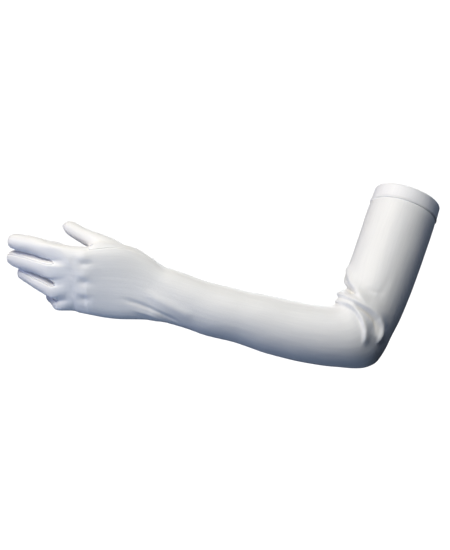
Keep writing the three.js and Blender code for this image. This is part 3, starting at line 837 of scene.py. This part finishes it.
def mesh_object(name, shape_points, shape_faces, material, shape_places=None, seam_highlights=None):
    """A mesh in metres, with its places on the cloth and how near its points are to a seam, which sets the
    painted highlight along the seams.
    """
    mesh = bpy.data.meshes.new(name)
    mesh.from_pydata((np.asarray(shape_points) * MM).tolist(), [], shape_faces)
    if shape_places is not None:
        layer = mesh.uv_layers.new(name="cloth")
        scaled = np.asarray(shape_places) * [COLUMN_WIDTH * MM, MM]
        layer.uv.foreach_set("vector", scaled.astype(np.float32).ravel())
    if seam_highlights is not None:
        mesh.attributes.new("seam", "FLOAT", "POINT").data.foreach_set("value", seam_highlights.astype(np.float32))
    mesh.materials.append(material)
    mesh.shade_smooth()
    made = bpy.data.objects.new(name, mesh)
    bpy.context.scene.collection.objects.link(made)
    return made


# Materials

# Ribs, rows and streaks follow the cloth, in metres. By a seam the cloth is doubled, and it is painted
# whiter there: a painted highlight along the seam lines.
RIB_WIDTH = 0.0006
ROW_HEIGHT = 0.0005
KNIT_DEPTH = 0.00006
STREAKS_PER_METRE = (560, 26, 1)
PATCHES_PER_METRE = 14.0
GRAINS_PER_METRE = 1400.0
SHEEN = 0.35
SHEEN_ROUGHNESS = 0.45
SHEEN_TINT = (0.9, 0.92, 1, 1)
WHITE, WHITE_SHADE = (0.83, 0.835, 0.85), (0.77, 0.775, 0.80)
COOL_WHITE, COOL_SHADE = (0.83, 0.835, 0.86), (0.77, 0.775, 0.81)
HEM_WHITE, HEM_SHADE = (0.87, 0.875, 0.91), (0.81, 0.815, 0.86)
# Whiter colour by the seams: a painted highlight.
SEAM_HIGHLIGHT_WHITE = (0.9, 0.905, 0.925)


class Nodes:
    """Short calls for the nodes of one material."""

    def __init__(self, name):
        self.material = bpy.data.materials.new(name)
        self.material.use_nodes = True
        self.tree = self.material.node_tree
        self.shader = self.tree.nodes["Principled BSDF"]

    def add(self, kind, inputs=(), **settings):
        node = self.tree.nodes.new("ShaderNode" + kind)
        for key, value in settings.items():
            setattr(node, key, value)
        for key, value in dict(inputs).items():
            if isinstance(value, bpy.types.NodeSocket):
                self.tree.links.new(value, node.inputs[key])
            else:
                node.inputs[key].default_value = value
        return node

    def math(self, operation, *values):
        return self.add("Math", enumerate(values), operation=operation).outputs[0]

    def wave(self, place, length):
        return self.math("SINE", self.math("MULTIPLY", place, 2 * math.pi / length))

    def noise(self, place, scale, detail):
        return self.add("TexNoise", {"Vector": place, "Scale": scale, "Detail": detail}).outputs[0]

    def mix(self, share, first, second):
        return self.add("Mix", {0: share, 6: first, 7: second}, data_type="RGBA").outputs[2]

    def link(self, output, name):
        self.tree.links.new(output, self.shader.inputs[name])


def satin(name, colour, shade, roughness):
    """Stretch satin knit: fine ribs along the cloth, faint streaks and a soft sheen."""
    nodes = Nodes(name)
    inputs = nodes.shader.inputs
    inputs["Specular IOR Level"].default_value = 0.45
    inputs["Sheen Weight"].default_value = SHEEN
    inputs["Sheen Roughness"].default_value = SHEEN_ROUGHNESS
    inputs["Sheen Tint"].default_value = SHEEN_TINT
    place = nodes.add("UVMap", uv_map="cloth").outputs["UV"]
    across, along, _ = nodes.add("SeparateXYZ", {"Vector": place}).outputs
    solid = nodes.add("TexCoord").outputs["Object"]
    stretched = nodes.add("Mapping", {"Vector": place, "Scale": STREAKS_PER_METRE}).outputs[0]
    streaks = nodes.noise(stretched, 1.0, 3.0)
    patches = nodes.noise(solid, PATCHES_PER_METRE, 2.0)
    grain = nodes.noise(solid, GRAINS_PER_METRE, 2.0)
    ribs, rows = nodes.wave(across, RIB_WIDTH), nodes.wave(along, ROW_HEIGHT)
    knit = nodes.math("MULTIPLY_ADD", ribs, 0.6, nodes.math("MULTIPLY", rows, 0.3))
    tone = nodes.math("ADD", nodes.math("MULTIPLY", streaks, 0.45), nodes.math("MULTIPLY", patches, 0.35))
    tone = nodes.math("ADD", tone, nodes.math("MULTIPLY", grain, 0.2))
    ramp = nodes.add("MapRange", {"Value": tone, "From Min": 0.35, "From Max": 0.65}).outputs[0]
    # Near a seam the colour goes whiter: a painted highlight along the seam lines.
    seam = nodes.add("Attribute", attribute_name="seam").outputs["Fac"]
    single = nodes.mix(ramp, (*shade, 1), (*colour, 1))
    nodes.link(nodes.mix(seam, single, (*SEAM_HIGHLIGHT_WHITE, 1)), "Base Color")
    gloss = nodes.math("MULTIPLY_ADD", streaks, 0.16, roughness - 0.08)
    nodes.link(nodes.math("MULTIPLY_ADD", grain, 0.08, gloss), "Roughness")
    height = nodes.math("MULTIPLY_ADD", streaks, 1.2, knit)
    bump = nodes.add("Bump", {"Height": height, "Strength": 0.5, "Distance": KNIT_DEPTH})
    nodes.link(bump.outputs[0], "Normal")
    return nodes.material


MATERIALS = {
    "satin": satin("satin", WHITE, WHITE_SHADE, 0.42),
    "thumb_satin": satin("thumb_satin", WHITE, WHITE_SHADE, 0.42),
    "fourchette_satin": satin("fourchette_satin", COOL_WHITE, COOL_SHADE, 0.46),
    "hem_satin": satin("hem_satin", HEM_WHITE, HEM_SHADE, 0.44),
}
SLOTS = {"hand_and_sleeve": "satin", "thumb": "thumb_satin", "hem_band": "hem_satin"}
# Each piece as a shell with its places on the cut cloth in metres; its part from model.glb is hidden
for name in PIECES:
    slot = SLOTS.get(name, "fourchette_satin")
    shape_points, shape_faces, shape_places, seam_highlights = shell(name)
    shape_faces = shape_faces.tolist()
    piece = mesh_object("glove_" + name, shape_points, shape_faces, MATERIALS[slot], shape_places, seam_highlights)
    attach(piece, "root")
    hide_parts(name)


# Row of stitches round the hem

# STITCH_LINE: least and most length above the hem's lower edge of the points they follow.
# STITCH_RISE: height of their middles over the band, as a share of their radius. STITCH_SWELL:
# places along a stitch, as shares of its length, and its thickness there.
STITCHES = 98
STITCH_LENGTH = 1.9
STITCH_RADIUS = 0.2
STITCH_SIDES = 6
STITCH_LINE = (1.5, 2.6)
STITCH_RISE = 0.5
STITCH_FLATNESS = 1.3
STITCH_SWELL = ((-0.5, 0.05), (-0.42, 0.7), (-0.2, 1.0), (0.2, 1.0), (0.42, 0.7), (0.5, 0.05))


def tube_faces(first, rings, sides):
    """Faces round and across the ends of a tube whose points follow ring by ring."""
    found = []
    for ring in range(rings - 1):
        for i in range(sides):
            a, b = first + ring * sides + i, first + ring * sides + (i + 1) % sides
            found.append([b, a, a + sides, b + sides])
    last = first + (rings - 1) * sides
    found.append([first + i for i in range(sides)])
    found.append([last + i for i in reversed(range(sides))])
    return found


def stitch_row():
    """Points and faces of short threads that lie end to end on the band."""
    hem = np.unique(faces[pieces == PIECES.index("hem_band")])
    away = HEM_LENGTH - point_place[hem, 1]
    ring = hem[(away > STITCH_LINE[0]) & (away < STITCH_LINE[1])]
    ring = ring[np.argsort(point_place[ring, 0])]
    surface = points[ring] + normals[ring] * (HEM_STANDS_PROUD + STITCH_RADIUS * STITCH_RISE)
    closed = np.vstack([surface, surface[:1]])
    outwards = np.vstack([normals[ring], normals[ring[:1]]])
    lengths = np.concatenate([[0], np.cumsum(np.linalg.norm(np.diff(closed, axis=0), axis=1))])

    def at(length, values):
        wrapped = length % lengths[-1]
        return np.array([np.interp(wrapped, lengths, values[:, i]) for i in range(3)])

    made, made_faces = [], []
    for stitch in range(STITCHES):
        centre = (stitch + 0.5) / STITCHES * lengths[-1]
        out = unit(at(centre, outwards))
        along = unit(at(centre + 1, closed) - at(centre - 1, closed))
        side = np.cross(out, along) * STITCH_FLATNESS
        made_faces += tube_faces(len(made), len(STITCH_SWELL), STITCH_SIDES)
        for share, swell in STITCH_SWELL:
            place = at(centre, closed) + along * share * STITCH_LENGTH
            reach = STITCH_RADIUS * swell
            for i in range(STITCH_SIDES):
                turn = 2 * math.pi * i / STITCH_SIDES
                made.append(place + out * reach * math.cos(turn) + side * reach * math.sin(turn))
    return made, made_faces


stitches = mesh_object("glove_hem_stitches", *stitch_row(), MATERIALS["hem_satin"])
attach(stitches, "root")
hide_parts("hem_band")


# Stage

MIDDLE = (-0.2, -0.07, -0.1)
FLOOR_LEVEL = -0.62
STAGE_RADIUS = 4.5
STAGE_HEIGHT = 4.0
STAGE_SIDES = 96
SWEEP_RADIUS = 1.6
SWEEP_STEPS = 12
PAPER_GLOW = 1.0


def stage_mesh():
    """A round floor that curves up into a wall."""
    flat_radius = STAGE_RADIUS - SWEEP_RADIUS
    profile = [(flat_radius, 0.0)]
    for i in range(1, SWEEP_STEPS + 1):
        turn = math.pi / 2 * i / SWEEP_STEPS
        rise = SWEEP_RADIUS * (1 - math.cos(turn))
        profile.append((flat_radius + SWEEP_RADIUS * math.sin(turn), rise))
    profile.append((STAGE_RADIUS, STAGE_HEIGHT))
    stage_points, stage_faces = [(0, 0, FLOOR_LEVEL)], []
    for radius, height in profile:
        for i in range(STAGE_SIDES):
            turn = 2 * math.pi * i / STAGE_SIDES
            stage_points.append((radius * math.cos(turn), radius * math.sin(turn), FLOOR_LEVEL + height))
    for i in range(STAGE_SIDES):
        after = (i + 1) % STAGE_SIDES
        stage_faces.append([0, 1 + i, 1 + after])
        for ring in range(len(profile) - 1):
            a, b = 1 + ring * STAGE_SIDES + i, 1 + ring * STAGE_SIDES + after
            stage_faces.append([a, a + STAGE_SIDES, b + STAGE_SIDES, b])
    mesh = bpy.data.meshes.new("studio_floor")
    mesh.from_pydata(stage_points, [], stage_faces)
    mesh.shade_smooth()
    return mesh


floor = bpy.data.objects.new("studio_floor", stage_mesh())
floor.location.x = MIDDLE[0]
bpy.context.scene.collection.objects.link(floor)
paper = Nodes("pale_paper")
paper.shader.inputs["Base Color"].default_value = (0.93, 0.93, 0.94, 1)
paper.shader.inputs["Roughness"].default_value = 0.9
paper.shader.inputs["Emission Color"].default_value = (1, 1, 1, 1)
paper.shader.inputs["Emission Strength"].default_value = PAPER_GLOW
floor.data.materials.append(paper.material)
floor.visible_diffuse = False
floor.visible_glossy = False


# Lights

# place, size: in metres. power: in watts.
LIGHTS = table(
    "name place size power colour",
    [
        ("key", (-1.02, -1.2, 1.32), 1.4, 42, (1, 0.93, 0.77)),
        ("right", (0.4, -0.8, 1.4), 1.0, 7.5, (0.62, 0.76, 1)),
        ("left", (-1.8, -0.4, 0.2), 1.0, 3.7, (0.68, 0.62, 1)),
        ("low", (-0.75, -0.6, -0.5), 0.5, 2.6, (0.53, 0.7, 1)),
        ("back", (0.3, 1.6, 0.7), 1.2, 18, (0.95, 0.97, 1)),
    ],
)
AIR_COLOUR = (0.62, 0.75, 1, 1)
AIR_STRENGTH = 0.04


def area_light(name, place, size, power, colour):
    """A round light that points at the middle of the glove."""
    data = bpy.data.lights.new(name, "AREA")
    data.shape = "DISK"
    data.size = size
    data.energy = power
    data.color = colour
    light = bpy.data.objects.new(name, data)
    light.location = place
    light.rotation_euler = (Vector(MIDDLE) - Vector(place)).to_track_quat("-Z", "Y").to_euler()
    light.visible_camera = False
    bpy.context.scene.collection.objects.link(light)


for light in LIGHTS:
    area_light(**light)
world = bpy.data.worlds.new("studio_air")
world.use_nodes = True
sky = world.node_tree.nodes["Background"]
sky.inputs["Color"].default_value = AIR_COLOUR
sky.inputs["Strength"].default_value = AIR_STRENGTH
bpy.context.scene.world = world
bpy.context.scene.view_settings.view_transform = "Standard"


# Camera

# It is level and looks along +Y at the back of the hand
CAMERA_PLACE = (-0.204, -2.070, -0.08495)
CAMERA_LENS = 121.21
CAMERA_SENSOR = 36

camera_data = bpy.data.cameras.new("camera")
camera_data.lens = CAMERA_LENS
camera_data.sensor_width = CAMERA_SENSOR
camera = bpy.data.objects.new("camera", camera_data)
camera.location = CAMERA_PLACE
camera.rotation_euler = (math.pi / 2, 0, 0)
bpy.context.scene.collection.objects.link(camera)
bpy.context.scene.camera = camera
